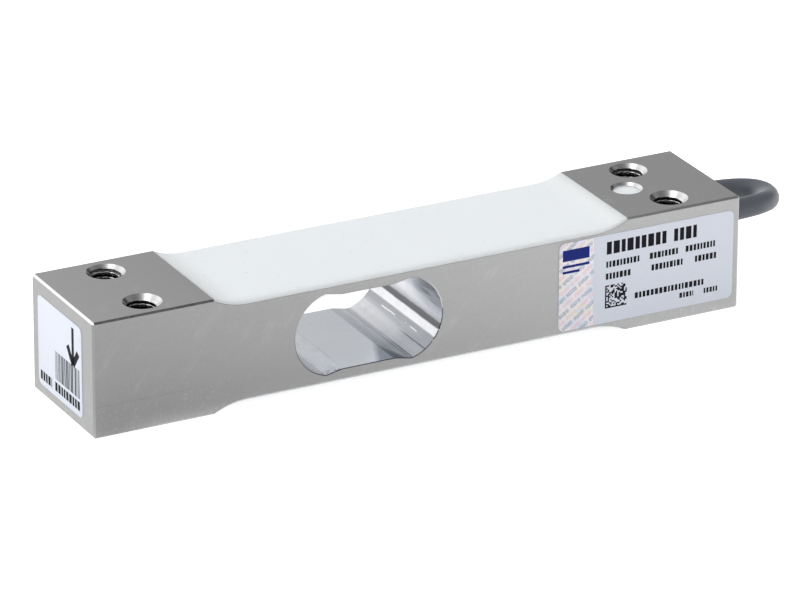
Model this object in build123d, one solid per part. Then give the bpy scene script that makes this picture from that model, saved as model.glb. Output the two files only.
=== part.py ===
from build123d import *

import os
from math import asin, cos, pi, radians, sin, sqrt, tan

# Single point load cell, in millimetres.
# +X runs along the beam from the load end to the cable end, +Z is up.
# The origin is the centre of the rectangle that the body stands on.

# Spring body
BODY_LENGTH = 130.0
BODY_WIDTH = 25.4
BODY_HEIGHT = 22.0
EDGE_BREAK = 0.35

# Shallow reliefs over and under the bending sections
BLOCK_LENGTH = 23.5
RELIEF_DEPTH = 1.7
RELIEF_END_RADIUS = 14.0

# Double bore opening that goes through from side to side
OPENING_OFFSET = -11.0
BORE_SPACING = 13.3
FLEXURE_THICKNESS = 1.25
SLOT_STEP = 0.9
FLEXURE_SPACING = 17.2
FLEXURE_ROUNDING = 1.5
RAMP_LENGTH = 3.3
RAMP_ROUNDING = 4.0
OPENING_DEBURR = 0.12

# Threaded mounting holes, two in each end block, open at both faces
HOLE_END_DISTANCE = 12.0
HOLE_SPACING = 15.0
THREAD_RADIUS = 3.0
COUNTERSINK_RADIUS = 3.55

# Cable, its bore and the ring of sealant round it
CABLE_RADIUS = 2.0
CABLE_BORE_CLEARANCE = 0.1
CABLE_HEIGHT = 13.4
CABLE_BORE_DEPTH = 13.0
SEAL_RADIUS = 2.9
SEAL_DEPTH = 2.0

# Wire passages between the cable bore and the two reliefs
WIRE_BORE_RADIUS = 1.5
WIRE_HOLE_RADIUS = 1.8
WIRE_HOLE_SETBACK = 3.8
FILLING_HOLE_DISTANCE = 16.6
FILLING_HOLE_RADIUS = 2.5
FILLING_HOLE_CHAMFER = 0.5
FILLING_LEVEL = 0.7

# Silicone covers
COVER_THICKNESS = 0.7
COVER_EDGE_THICKNESS = 0.05
COVER_EDGE_WIDTH = 1.8

# Strain gauges
GAUGE_LENGTH = 9.0
GAUGE_WIDTH = 6.4
GAUGE_THICKNESS = 0.08
GAUGE_TAB_LENGTH = 1.4
GAUGE_TAB_WIDTH = 1.6
GAUGE_TAB_SPACING = 2.4
GAUGE_TAB_HEIGHT = 0.06

# Wiring film on the top floor and solder strip on the bottom floor
FILM_LENGTH = 13.0
FILM_WIDTH = 9.0
FILM_THICKNESS = 0.15
FILM_GAP = 3.2
STRIP_LENGTH = 6.0

# Chip resistors of the bridge
CHIP_LENGTH = 1.6
CHIP_WIDTH = 0.9
CHIP_HEIGHT = 0.35
CHIP_SPACING = 2.6

# Wires under the silicone
GAUGE_WIRE_RADIUS = 0.08
CROSS_WIRE_RADIUS = 0.12
LEAD_WIRE_RADIUS = 0.16
WIRE_PITCH = 0.7
WIRE_LIFT = 0.02
WIRE_OVERLAY = 1.0
WIRE_BEND = 0.5
WIRE_COLUMN_OFFSET = 0.5

# Labels
LABEL_THICKNESS = 0.1
LABEL_CORNER = 1.2
RATING_LABEL_LENGTH = 36.3
RATING_LABEL_HEIGHT = 17.2
RATING_LABEL_END_MARGIN = 1.3
RATING_LABEL_TOP_MARGIN = 2.5
STRIP_LABEL_LENGTH = 7.15
STRIP_LABEL_THICKNESS = 0.05
END_LABEL_WIDTH = 18.3
END_LABEL_HEIGHT = 17.1
END_LABEL_OFFSET = 1.05
END_LABEL_TOP_MARGIN = 2.85

# Hank of the put-away cable: three runs side by side with a fold at each end
HANK_MIDDLE_X = 23.0
HANK_MIDDLE_Y = 33.4
HANK_PITCH = 4.1
HANK_WAIST_LENGTH = 32.0
HANK_NECK_LENGTH = 6.0
HANK_FOLD_DISTANCE = 18.0
HANK_FOLD_RADIUS = 10.5
HANK_ROUNDING = 1.2
TIE_THICKNESS = 0.5
TIE_WIDTH = 4.0
TIE_CLEARANCE = 0.1

# Bare ends of the cable's cores
CORE_RADIUS = 0.5
CORE_RING_RADIUS = 0.95
CORE_TIP_RADIUS = 0.35
CORE_TIP_LENGTH = 4.0
CORE_ANGLES = [162, 234, 90, 306, 18]
CORE_STATIONS = [4.0, 9.0, 14.0, 18.0]
CORE_FAN = 2.2
CORE_DRIFT = 3.0

# Centre line of the cable from the end face to the hank, chosen by hand
CABLE_ROUTE = [
    (65.0, 0.0, 13.4),
    (72.6, 0.0, 13.4),
    (78.2, 0.7, 13.4),
    (83.1, 6.3, 11.5),
    (84.5, 12.3, 10.7),
    (80.3, 15.9, 10.4),
    (72.5, 16.1, 10.6),
    (62.0, 17.3, 7.2),
    (54.5, 25.0, 3.4),
    (44.5, 29.3, 2.6),
    (39.0, 29.3, 2.6),
]

# Centre line of the cable from the hank to its stripped end
TAIL_ROUTE = [
    (7.0, 37.5, 2.6),
    (1.5, 37.5, 2.6),
    (-8.5, 41.8, 2.2),
    (-15.0, 44.2, 2.0),
    (-20.5, 44.3, 2.0),
]

# Derived places
HALF_LENGTH = BODY_LENGTH / 2
HALF_WIDTH = BODY_WIDTH / 2
TOP_FLOOR = BODY_HEIGHT - RELIEF_DEPTH
BORE_RADIUS = BODY_HEIGHT / 2 - RELIEF_DEPTH - FLEXURE_THICKNESS
SLOT_TOP = BORE_RADIUS - SLOT_STEP
BLOCK_EDGE = HALF_LENGTH - BLOCK_LENGTH
RELIEF_RUN = sqrt(RELIEF_DEPTH * (2 * RELIEF_END_RADIUS - RELIEF_DEPTH))
FLOOR_END = BLOCK_EDGE - RELIEF_RUN
CABLE_BORE_END = HALF_LENGTH - CABLE_BORE_DEPTH
WIRE_HOLE_X = FLOOR_END - WIRE_HOLE_SETBACK
FLEXURES = [OPENING_OFFSET - FLEXURE_SPACING / 2, OPENING_OFFSET + FLEXURE_SPACING / 2]
FILM_END = WIRE_HOLE_X - WIRE_HOLE_RADIUS - FILM_GAP
FILM_START = FILM_END - FILM_LENGTH
MIDDLE_HEIGHT = Plane.XY.offset(BODY_HEIGHT / 2)
RATING_LABEL_LEVEL = BODY_HEIGHT - RATING_LABEL_TOP_MARGIN - RATING_LABEL_HEIGHT / 2
END_LABEL_LEVEL = BODY_HEIGHT - END_LABEL_TOP_MARGIN - END_LABEL_HEIGHT / 2


def relief_arc(side, level, drop):
    """Arc from the edge of a block, on side -1 or +1, down to a floor that lies drop below level."""
    run = sqrt(drop * (2 * RELIEF_END_RADIUS - drop))
    half_turn = asin(run / RELIEF_END_RADIUS) / 2
    end = (side * (BLOCK_EDGE - run), level - drop)
    middle = (
        end[0] + side * RELIEF_END_RADIUS * sin(half_turn),
        end[1] + RELIEF_END_RADIUS * (1 - cos(half_turn)),
    )
    return (side * BLOCK_EDGE, level), middle, end


def relief_line(drop):
    """Edges of a relief's outline under the top face: arc, floor, arc."""
    left = relief_arc(-1, BODY_HEIGHT, drop)
    right = relief_arc(1, BODY_HEIGHT, drop)
    return [
        ThreePointArc(*left),
        Line(left[2], right[2]),
        ThreePointArc(*reversed(right)),
    ]


def upright(face, y=0.0):
    """The face, drawn as X and Z, stood up across the beam at the given Y."""
    return Plane((0, y, 0), x_dir=(1, 0, 0), z_dir=(0, -1, 0)) * face


def through(face):
    """The face, drawn as X and Z, as a bar that goes through the whole width of the beam."""
    return extrude(upright(face), amount=HALF_WIDTH, both=True)


def mirrored(shape):
    """The shape turned over from the top of the beam to its bottom."""
    return mirror(shape, about=MIDDLE_HEIGHT)


def countersunk_hole(x, y):
    """Cutter for a threaded hole that is open and countersunk at both faces."""
    sink = COUNTERSINK_RADIUS - THREAD_RADIUS
    level = Plane.XY.offset(BODY_HEIGHT)
    bore = Cylinder(THREAD_RADIUS, BODY_HEIGHT, align=(Align.CENTER, Align.CENTER, Align.MIN))
    cone = Cone(THREAD_RADIUS, COUNTERSINK_RADIUS, sink, align=(Align.CENTER, Align.CENTER, Align.MAX))
    top = level * cone
    return Pos(x, y, 0) * (bore + top + mirrored(top))


def cable_passages():
    """Cutter for the cable bore, its counterbore, the wire passages and the filling hole."""
    to_x = Plane((CABLE_BORE_END, 0, CABLE_HEIGHT), x_dir=(0, 1, 0), z_dir=(1, 0, 0))
    on_axis = (Align.CENTER, Align.CENTER, Align.MIN)
    bore = to_x * Cylinder(CABLE_RADIUS + CABLE_BORE_CLEARANCE, CABLE_BORE_DEPTH, align=on_axis)
    seat = to_x.offset(CABLE_BORE_DEPTH - SEAL_DEPTH) * Cylinder(SEAL_RADIUS, SEAL_DEPTH, align=on_axis)
    return bore + seat + wire_passages() + filling_hole(BODY_HEIGHT)


def wire_passages():
    """The narrow bore along the beam and the upright hole that joins both reliefs."""
    to_x = Plane((WIRE_HOLE_X, 0, CABLE_HEIGHT), x_dir=(0, 1, 0), z_dir=(1, 0, 0))
    on_axis = (Align.CENTER, Align.CENTER, Align.MIN)
    along = to_x * Cylinder(WIRE_BORE_RADIUS, CABLE_BORE_END - WIRE_HOLE_X, align=on_axis)
    height = TOP_FLOOR - RELIEF_DEPTH
    down = Pos(WIRE_HOLE_X, 0, RELIEF_DEPTH) * Cylinder(WIRE_HOLE_RADIUS, height, align=on_axis)
    return along + down


def filling_hole(level):
    """The filling hole from the wire bore up to the given level, with its chamfer at the top face."""
    on_axis = (Align.CENTER, Align.CENTER, Align.MIN)
    place = Pos(HALF_LENGTH - FILLING_HOLE_DISTANCE, 0, CABLE_HEIGHT)
    hole = Cylinder(FILLING_HOLE_RADIUS, level - CABLE_HEIGHT, align=on_axis)
    chamfer_top = FILLING_HOLE_RADIUS + FILLING_HOLE_CHAMFER
    cone = Cone(FILLING_HOLE_RADIUS, chamfer_top, FILLING_HOLE_CHAMFER, align=on_axis)
    cone = Pos(0, 0, BODY_HEIGHT - FILLING_HOLE_CHAMFER - CABLE_HEIGHT) * cone
    return place * (hole + cone if level >= BODY_HEIGHT else hole)


def flexure_height():
    """Half of the opening's height at the flexures, where the bores end and the ramps begin."""
    inset = (FLEXURE_SPACING - BORE_SPACING) / 2
    return sqrt(BORE_RADIUS**2 - inset**2)


def opening_end():
    """Right half of the opening about its middle: flat slot, ramp up to the flexure, then the arc of the bore."""
    foot = (FLEXURE_SPACING / 2 - RAMP_LENGTH, SLOT_TOP)
    crest = (FLEXURE_SPACING / 2, flexure_height())
    tip = (BORE_SPACING / 2 + BORE_RADIUS, 0)
    outline = [
        Line((0, SLOT_TOP), foot),
        Line(foot, crest),
        ThreePointArc(crest, tip, (crest[0], -crest[1])),
        Line((crest[0], -crest[1]), (foot[0], -foot[1])),
        Line((foot[0], -foot[1]), (0, -SLOT_TOP)),
        Line((0, -SLOT_TOP), (0, SLOT_TOP)),
    ]
    face = make_face(outline)
    feet = face.vertices().group_by(Axis.X)[1]
    face = fillet(feet, RAMP_ROUNDING)
    crests = face.vertices().group_by(Axis.X)[-1]
    return fillet(crests, FLEXURE_ROUNDING)


def opening_face():
    """Outline of the opening: two bores joined by a slot that is a little lower than they are."""
    half = opening_end()
    return Pos(OPENING_OFFSET, BODY_HEIGHT / 2) * (half + mirror(half, about=Plane.YZ))


def spring_body():
    """The machined bar with its two reliefs, the double bore opening and all its holes."""
    outline = Pos(0, BODY_HEIGHT / 2) * Rectangle(BODY_LENGTH, BODY_HEIGHT)
    roof = Line((BLOCK_EDGE, BODY_HEIGHT), (-BLOCK_EDGE, BODY_HEIGHT))
    relief = make_face(relief_line(RELIEF_DEPTH) + [roof])
    turned = mirror(relief, about=Plane.XZ.offset(-BODY_HEIGHT / 2))
    bar = through(outline - relief - turned)
    sides = bar.faces().filter_by(Axis.Y) + bar.faces().filter_by(Axis.X)
    bar = chamfer(sides.edges(), EDGE_BREAK)
    bar -= through(opening_face())
    rims = bar.faces().filter_by(Axis.Y).edges()
    rims = rims.filter_by_position(Axis.Z, RELIEF_DEPTH + EDGE_BREAK, TOP_FLOOR - EDGE_BREAK, inclusive=(False, False))
    reach = BORE_SPACING / 2 + BORE_RADIUS + OPENING_DEBURR
    rims = rims.filter_by_position(Axis.X, OPENING_OFFSET - reach, OPENING_OFFSET + reach)
    bar = chamfer(rims, OPENING_DEBURR)
    for side in (-1, 1):
        for y in (-HOLE_SPACING / 2, HOLE_SPACING / 2):
            bar -= countersunk_hole(side * (HALF_LENGTH - HOLE_END_DISTANCE), y)
    return bar - cable_passages()


def cover_section(y, thickness):
    """Section of the top cover at the given Y: the relief's outline below, its free surface above."""
    under = relief_line(RELIEF_DEPTH)
    over = relief_line(RELIEF_DEPTH - thickness)
    return upright(make_face(under + over), y)


def silicone_cover():
    """Cast silicone on the top floor, thin at its long edges and feathered out at the blocks."""
    edge = HALF_WIDTH - EDGE_BREAK
    stations = []
    for share in (0.0, 0.12, 0.4, 1.0):
        rise = COVER_THICKNESS * sqrt(1 - (1 - share) ** 2)
        stations.append((edge - share * COVER_EDGE_WIDTH, max(COVER_EDGE_THICKNESS, rise)))
    near = [cover_section(-y, t) for y, t in stations]
    far = [cover_section(y, t) for y, t in reversed(stations)]
    return loft(near + far, ruled=True)


def gauge(x):
    """Foil gauge on the top floor: a thin carrier with two solder tabs at its cable end."""
    on_floor = (Align.CENTER, Align.CENTER, Align.MIN)
    carrier = Box(GAUGE_LENGTH, GAUGE_WIDTH, GAUGE_THICKNESS, align=on_floor)
    shape = carrier
    tab_x = (GAUGE_LENGTH - GAUGE_TAB_LENGTH) / 2 - GAUGE_THICKNESS
    for side in (-1, 1):
        tab = Box(GAUGE_TAB_LENGTH, GAUGE_TAB_WIDTH, GAUGE_TAB_HEIGHT, align=on_floor)
        shape += Pos(tab_x, side * GAUGE_TAB_SPACING / 2, GAUGE_THICKNESS) * tab
    return Pos(x, 0, TOP_FLOOR) * shape


def film(length):
    """Wiring film that lies on the top floor between the gauges and the wire hole."""
    shape = Box(length, FILM_WIDTH, FILM_THICKNESS, align=(Align.MIN, Align.CENTER, Align.MIN))
    return Pos(FILM_START, 0, TOP_FLOOR) * shape


def chip(row):
    """Chip resistor on the wiring film, in row -1, 0 or +1 across the beam."""
    shape = Box(CHIP_LENGTH, CHIP_WIDTH, CHIP_HEIGHT, align=(Align.CENTER, Align.CENTER, Align.MIN))
    shape = fillet(shape.edges().filter_by(Axis.Y).group_by(Axis.Z)[-1], CHIP_HEIGHT / 4)
    return Pos(FILM_START + FILM_LENGTH / 2, row * CHIP_SPACING, TOP_FLOOR + FILM_THICKNESS) * shape


def tube(points, radius, radii=None):
    """Round bar along straight runs that are joined by tangent arcs of the given radii."""
    path = FilletPolyline(*points, radius=radii) if len(points) > 2 else Line(*points)
    start = Plane(path @ 0, z_dir=path % 0)
    return sweep(start * Circle(radius), path=path)


def wire_level(radius):
    """Height of a wire's centre where it lies on the wiring film or over a gauge's tab."""
    return TOP_FLOOR + max(FILM_THICKNESS, GAUGE_THICKNESS + GAUGE_TAB_HEIGHT) + radius + WIRE_LIFT


def gauge_wires():
    """Fine wires on the top floor from the gauges' tabs to the wiring film."""
    level = wire_level(GAUGE_WIRE_RADIUS)
    tab = GAUGE_LENGTH / 2 - GAUGE_THICKNESS - GAUGE_TAB_LENGTH / 2
    beside = GAUGE_WIDTH / 2 + WIRE_PITCH
    end = FILM_START + WIRE_OVERLAY
    wires = []
    for side in (-1, 1):
        y = side * GAUGE_TAB_SPACING / 2
        straight = [(FLEXURES[1] + tab, y, level), (end, y, level)]
        round_gauge = [
            (FLEXURES[0] + tab, y, level),
            (FLEXURES[0] + GAUGE_LENGTH / 2 + WIRE_BEND, y, level),
            (FLEXURES[1] - GAUGE_LENGTH / 2 - WIRE_BEND, side * beside, level),
            (end, side * beside, level),
        ]
        wires.append(tube(straight, GAUGE_WIRE_RADIUS))
        wires.append(tube(round_gauge, GAUGE_WIRE_RADIUS, [WIRE_BEND, WIRE_BEND]))
    return Compound(children=wires)


def lead_wires():
    """Ends of the cable's cores: along the wire bore, up the wire hole and onto the film."""
    level = wire_level(LEAD_WIRE_RADIUS)
    column = WIRE_HOLE_X + WIRE_COLUMN_OFFSET
    wires = []
    for row in (-1.5, -0.5, 0.5, 1.5):
        y = row * WIRE_PITCH
        route = [
            (CABLE_BORE_END, y, CABLE_HEIGHT),
            (column, y, CABLE_HEIGHT),
            (column, y, level),
            (FILM_END - WIRE_OVERLAY, y, level),
        ]
        wires.append(tube(route, LEAD_WIRE_RADIUS, [WIRE_BEND, WIRE_BEND]))
    return Compound(children=wires)


def cross_wires():
    """Wires from the solder strip on the bottom floor, through the beam, to the film on the top."""
    level = wire_level(CROSS_WIRE_RADIUS)
    column = WIRE_HOLE_X - WIRE_COLUMN_OFFSET
    strip_end = FILM_START + STRIP_LENGTH - WIRE_OVERLAY
    wires = []
    for row in (-1, 0, 1):
        y = row * WIRE_PITCH
        route = [
            (strip_end, y, BODY_HEIGHT - level),
            (column, y, BODY_HEIGHT - level),
            (column, y, level),
            (FILM_END - WIRE_OVERLAY, y, level),
        ]
        wires.append(tube(route, CROSS_WIRE_RADIUS, [WIRE_BEND, WIRE_BEND]))
    return Compound(children=wires)


def bar_along_beam(radius, start, end):
    """Round bar on the cable's axis between two places along the beam."""
    place = Plane((start, 0, CABLE_HEIGHT), x_dir=(0, 1, 0), z_dir=(1, 0, 0))
    return place * Cylinder(radius, end - start, align=(Align.CENTER, Align.CENTER, Align.MIN))


def label(width, height, thickness, corners):
    """Flat label drawn in its own plane, with the chosen corners rounded."""
    face = Rectangle(width, height)
    rounded = face.vertices().filter_by(corners) if corners else face.vertices()
    return extrude(fillet(rounded, LABEL_CORNER), thickness)


def rating_label():
    """Film label on the side at -Y, close to the cable end."""
    x = HALF_LENGTH - RATING_LABEL_END_MARGIN - RATING_LABEL_LENGTH / 2
    place = Plane((x, -HALF_WIDTH, RATING_LABEL_LEVEL), x_dir=(1, 0, 0), z_dir=(0, -1, 0))
    return place * label(RATING_LABEL_LENGTH, RATING_LABEL_HEIGHT, LABEL_THICKNESS, None)


def foil_strip():
    """Foil that is laid over the end of the rating label that is nearer to the opening."""
    x = HALF_LENGTH - RATING_LABEL_END_MARGIN - RATING_LABEL_LENGTH + STRIP_LABEL_LENGTH / 2
    y = -HALF_WIDTH - LABEL_THICKNESS
    place = Plane((x, y, RATING_LABEL_LEVEL), x_dir=(1, 0, 0), z_dir=(0, -1, 0))
    size = (STRIP_LABEL_LENGTH, RATING_LABEL_HEIGHT, STRIP_LABEL_THICKNESS)
    return place * label(*size, lambda vertex: vertex.X < 0)


def end_label():
    """Film label on the end face at the load end."""
    place = Plane((-HALF_LENGTH, END_LABEL_OFFSET, END_LABEL_LEVEL), x_dir=(0, -1, 0), z_dir=(-1, 0, 0))
    return place * label(END_LABEL_WIDTH, END_LABEL_HEIGHT, LABEL_THICKNESS, None)


def route_radii(route):
    """Bend radius at each inner point of a route: 0.45 of the shorter run over the tangent of half the turn."""
    radii = []
    for before, here, after in zip(route, route[1:], route[2:]):
        run_in = Vector(here) - Vector(before)
        run_out = Vector(after) - Vector(here)
        half_turn = radians(run_in.get_angle(run_out)) / 2
        radii.append(0.45 * min(run_in.length, run_out.length) / tan(half_turn))
    return radii


def cord(route, radius, name):
    """Tube of a free cord along its route. Prints its radii and how its volume compares with its length."""
    radii = route_radii(route)
    solid = tube(route, radius, radii)
    path = FilletPolyline(*route, radius=radii)
    share = solid.volume / (pi * radius**2 * path.length)
    print(name, "radii", [round(r, 1) for r in radii], "length", round(path.length, 1), "volume share", round(share, 4))
    return solid


def fold_outline(side):
    """Outline of one fold of the hank with the neck that leads to it, on side -1 or +1."""
    neck_start = HANK_MIDDLE_X + side * HANK_WAIST_LENGTH / 2
    neck_end = neck_start + side * HANK_NECK_LENGTH
    middle_y = HANK_MIDDLE_Y + side * HANK_PITCH / 2
    neck = Pos((neck_start + neck_end) / 2, middle_y) * Rectangle(HANK_NECK_LENGTH, 2 * HANK_PITCH)
    loop = Pos(neck_end + side * HANK_FOLD_DISTANCE, middle_y) * Circle(HANK_FOLD_RADIUS)
    rim = neck.edges().filter_by(Axis.Y).sort_by(Axis.X)[0 if side < 0 else -1]
    return make_hull([rim] + list(loop.edges())) + neck


def cable_hank():
    """Outer shape of three cable runs that lie side by side, with a wide fold at each end."""
    shape = extrude(fold_outline(-1), 2 * CABLE_RADIUS) + extrude(fold_outline(1), 2 * CABLE_RADIUS)
    size = (HANK_WAIST_LENGTH, 3 * HANK_PITCH, 2 * CABLE_RADIUS)
    waist = Box(*size, align=(Align.CENTER, Align.CENTER, Align.MIN))
    waist = fillet(waist.edges().filter_by(Axis.X), HANK_ROUNDING)
    return shape + Pos(HANK_MIDDLE_X, HANK_MIDDLE_Y, TIE_THICKNESS + TIE_CLEARANCE) * waist


def hank_tie():
    """Flat band closed round the waist of the hank."""
    inner = (3 * HANK_PITCH + 2 * TIE_CLEARANCE, 2 * (CABLE_RADIUS + TIE_CLEARANCE))
    outer = (inner[0] + 2 * TIE_THICKNESS, inner[1] + 2 * TIE_THICKNESS)
    band = RectangleRounded(*outer, HANK_ROUNDING + TIE_THICKNESS) - RectangleRounded(*inner, HANK_ROUNDING)
    place = Plane((HANK_MIDDLE_X, HANK_MIDDLE_Y, outer[1] / 2), x_dir=(0, 1, 0), z_dir=(1, 0, 0))
    return place * extrude(band, TIE_WIDTH / 2, both=True)


def core_route(rank):
    """Route of a core: straight out of the jacket, down to the surface and fanned out by its rank, -2 to 2."""
    end = Vector(TAIL_ROUTE[-1])
    ahead = (end - Vector(TAIL_ROUTE[-2])).normalized()
    sideways = Vector(0, 0, 1).cross(ahead)
    angle = radians(CORE_ANGLES[rank + 2])
    side = CORE_RING_RADIUS * cos(angle)
    height = CORE_RING_RADIUS * sin(angle)
    start = end + sideways * side + Vector(0, 0, height)
    points = [start]
    for station in CORE_STATIONS:
        share = (station - CORE_STATIONS[0]) / (CORE_STATIONS[-1] - CORE_STATIONS[0])
        point = start + ahead * station + sideways * (rank * CORE_FAN * share + CORE_DRIFT * share**2)
        drop = (start.Z - CORE_RADIUS) * min(1, 2 * share)
        points.append(point - Vector(0, 0, drop))
    return [tuple(point) for point in points]


def core(rank):
    """One insulated core beyond the end of the jacket."""
    return cord(core_route(rank), CORE_RADIUS, "core")


def core_tip(rank):
    """Tinned end of a core, in line with its last run."""
    before, last = core_route(rank)[-2:]
    direction = Vector(last) - Vector(before)
    place = Plane(last, z_dir=direction)
    return place * Cylinder(CORE_TIP_RADIUS, CORE_TIP_LENGTH, align=(Align.CENTER, Align.CENTER, Align.MIN))


def filled_passages():
    """Silicone that fills the wire passages and most of the filling hole, before the wires are taken out."""
    return wire_passages() + filling_hole(BODY_HEIGHT - FILLING_LEVEL)


top_items = {
    "gauge_top_load_end": gauge(FLEXURES[0]),
    "gauge_top_cable_end": gauge(FLEXURES[1]),
    "wiring_film": film(FILM_LENGTH),
    "zero_balance_resistor": chip(-1),
    "span_resistor": chip(0),
    "temperature_resistor": chip(1),
    "gauge_wires_top": gauge_wires(),
    "lead_wires": lead_wires(),
}
bottom_items = {
    "gauge_bottom_load_end": mirrored(gauge(FLEXURES[0])),
    "gauge_bottom_cable_end": mirrored(gauge(FLEXURES[1])),
    "solder_strip": mirrored(film(STRIP_LENGTH)),
    "gauge_wires_bottom": mirrored(gauge_wires()),
}
crossing = cross_wires()
wires = [crossing, top_items["lead_wires"]]

parts = {
    "spring_body": spring_body(),
    "top_silicone_cover": silicone_cover().cut(*top_items.values(), crossing),
    "bottom_silicone_cover": mirrored(silicone_cover()).cut(*bottom_items.values(), crossing),
    **top_items,
    **bottom_items,
    "cross_wires": crossing,
    "passage_filling": filled_passages().cut(*wires),
    "cable_inner_end": bar_along_beam(CABLE_RADIUS, CABLE_BORE_END, HALF_LENGTH),
    "cable_seal": bar_along_beam(SEAL_RADIUS, HALF_LENGTH - SEAL_DEPTH, HALF_LENGTH)
    - bar_along_beam(CABLE_RADIUS, HALF_LENGTH - SEAL_DEPTH, HALF_LENGTH),
    "rating_label": rating_label(),
    "foil_strip": foil_strip(),
    "end_label": end_label(),
    "cable": cord(CABLE_ROUTE, CABLE_RADIUS, "cable"),
    "cable_hank": cable_hank(),
    "hank_tie": hank_tie(),
    "cable_tail": cord(TAIL_ROUTE, CABLE_RADIUS, "cable tail"),
    "core_red": core(-2),
    "core_black": core(-1),
    "shield_pigtail": core(0),
    "core_green": core(1),
    "core_white": core(2),
    "core_tips": Compound(children=[core_tip(rank) for rank in (-2, -1, 1, 2)]),
}

os.makedirs("parts", exist_ok=True)
for name, shape in parts.items():
    export_step(shape, f"parts/{name}.step")
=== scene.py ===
import math

import bmesh
import bpy
import numpy as np
from mathutils import Matrix, Vector


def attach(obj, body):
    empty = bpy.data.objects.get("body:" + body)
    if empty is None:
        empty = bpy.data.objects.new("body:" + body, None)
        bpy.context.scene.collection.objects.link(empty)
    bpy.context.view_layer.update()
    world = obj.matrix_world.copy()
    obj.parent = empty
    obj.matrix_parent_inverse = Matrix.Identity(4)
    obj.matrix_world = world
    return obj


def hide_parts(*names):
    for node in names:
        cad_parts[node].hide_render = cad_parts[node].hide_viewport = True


# Looks of a single point load cell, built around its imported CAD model.
# All lengths here are in metres, in the CAD model's own frame.

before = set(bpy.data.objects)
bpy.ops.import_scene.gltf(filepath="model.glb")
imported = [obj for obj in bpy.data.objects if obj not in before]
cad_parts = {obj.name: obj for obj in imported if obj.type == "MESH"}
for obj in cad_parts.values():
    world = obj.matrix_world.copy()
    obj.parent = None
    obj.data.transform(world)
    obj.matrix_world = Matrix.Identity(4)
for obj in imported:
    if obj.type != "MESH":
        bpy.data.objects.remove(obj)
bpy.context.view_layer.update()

bl_info = {
    "name": "Single point load cell",
    "version": (1, 0, 0),
    "blender": (4, 5, 0),
    "location": "View3D > Sidebar > Load Cell",
    "description": "Builds the visible surfaces and finishes of a single point load cell and its studio",
    "category": "Add Mesh",
}

MM = 0.001

# The beam
BODY_LENGTH = 0.130
BODY_WIDTH = 0.0254
BODY_HEIGHT = 0.022
EDGE_BREAK = 0.00035
BLOCK_EDGE = 0.0415
ARC_FOOT = 0.033  # from here out the silicone's points lie closer together, along the arc of the relief
RELIEF_DEPTH = 0.0017
RELIEF_RADIUS = 0.014
BORE_CENTRES = (-0.01765, -0.00435)
BORE_RADIUS = 0.00805
HOLE_PLACES = [(-0.053, -0.0075), (-0.053, 0.0075), (0.053, -0.0075), (0.053, 0.0075)]
COUNTERSINK_RADIUS = 0.00355
THREAD_OUTER_RADIUS = 0.00299
THREAD_STARTS = (0.45, 0.95, 0.40, 0.13)  # share of a turn, each hole tapped by itself
THREAD_SIDES = 60
THREAD_ROWS_A_TURN = 12
# the bright crests near each face are a painted highlight
SHINING_DEPTH = 0.0026  # below a face, the crests down to here are as bright as the countersink
FILLING_PLACE = (0.0484, 0.0)
FILLING_RADIUS = 0.003

# Camera
CAMERA_PLACE = (-0.477571, -0.914074, 0.447260)
CAMERA_RIGHT = (0.88638929, -0.46292329, 0.00400659)
CAMERA_DOWN = (-0.1773914, -0.34763147, -0.92069792)
CAMERA_FORWARD = (0.42760532, 0.81538604, -0.39025542)
CAMERA_LENS = 279.95
SENSOR_WIDTH = 36.0

# Cable: the way from the end face to the hank, then the way from the hank to the stripped end
CABLE_RADIUS = 0.002
CABLE_ROUTE = [
    (0.0650, 0.0000, 0.0134),
    (0.0726, 0.0000, 0.0134),
    (0.0782, 0.0007, 0.0134),
    (0.0831, 0.0063, 0.0115),
    (0.0845, 0.0123, 0.0107),
    (0.0803, 0.0159, 0.0104),
    (0.0725, 0.0161, 0.0106),
    (0.0620, 0.0173, 0.0072),
    (0.0545, 0.0250, 0.0034),
    (0.0445, 0.0293, 0.0026),
    (0.0390, 0.0293, 0.0026),
]
TAIL_ROUTE = [
    (0.0070, 0.0375, 0.0026),
    (0.0015, 0.0375, 0.0026),
    (-0.0085, 0.0418, 0.0022),
    (-0.0150, 0.0442, 0.0020),
    (-0.0205, 0.0443, 0.0020),
]
HANK_MIDDLE = (0.0230, 0.0334)
HANK_PITCH = 0.0041
HANK_WAIST = 0.0320
HANK_NECK = 0.0060
HANK_FOLD_DISTANCE = 0.0180
HANK_FOLD_RADIUS = 0.0085
FOLD_STEP = math.radians(30)
RUN_LEVEL = 0.0026
NECK_LEVEL = 0.0024

# Labels: middle and size of each on its face, seen from outside
LABEL_THICKNESS = 0.0001
LABEL_CORNER = 0.0012
RATING_LABEL = {"across": 0.04555, "up": 0.0109, "width": 0.0363, "height": 0.0172}
FOIL_STRIP = {"across": 0.030975, "up": 0.0109, "width": 0.00715, "height": 0.0172}
FOIL_THICKNESS = 0.00005
END_LABEL = {"across": -0.00105, "up": 0.0106, "width": 0.0183, "height": 0.0171}
INK_THICKNESS = 0.000006

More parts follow.
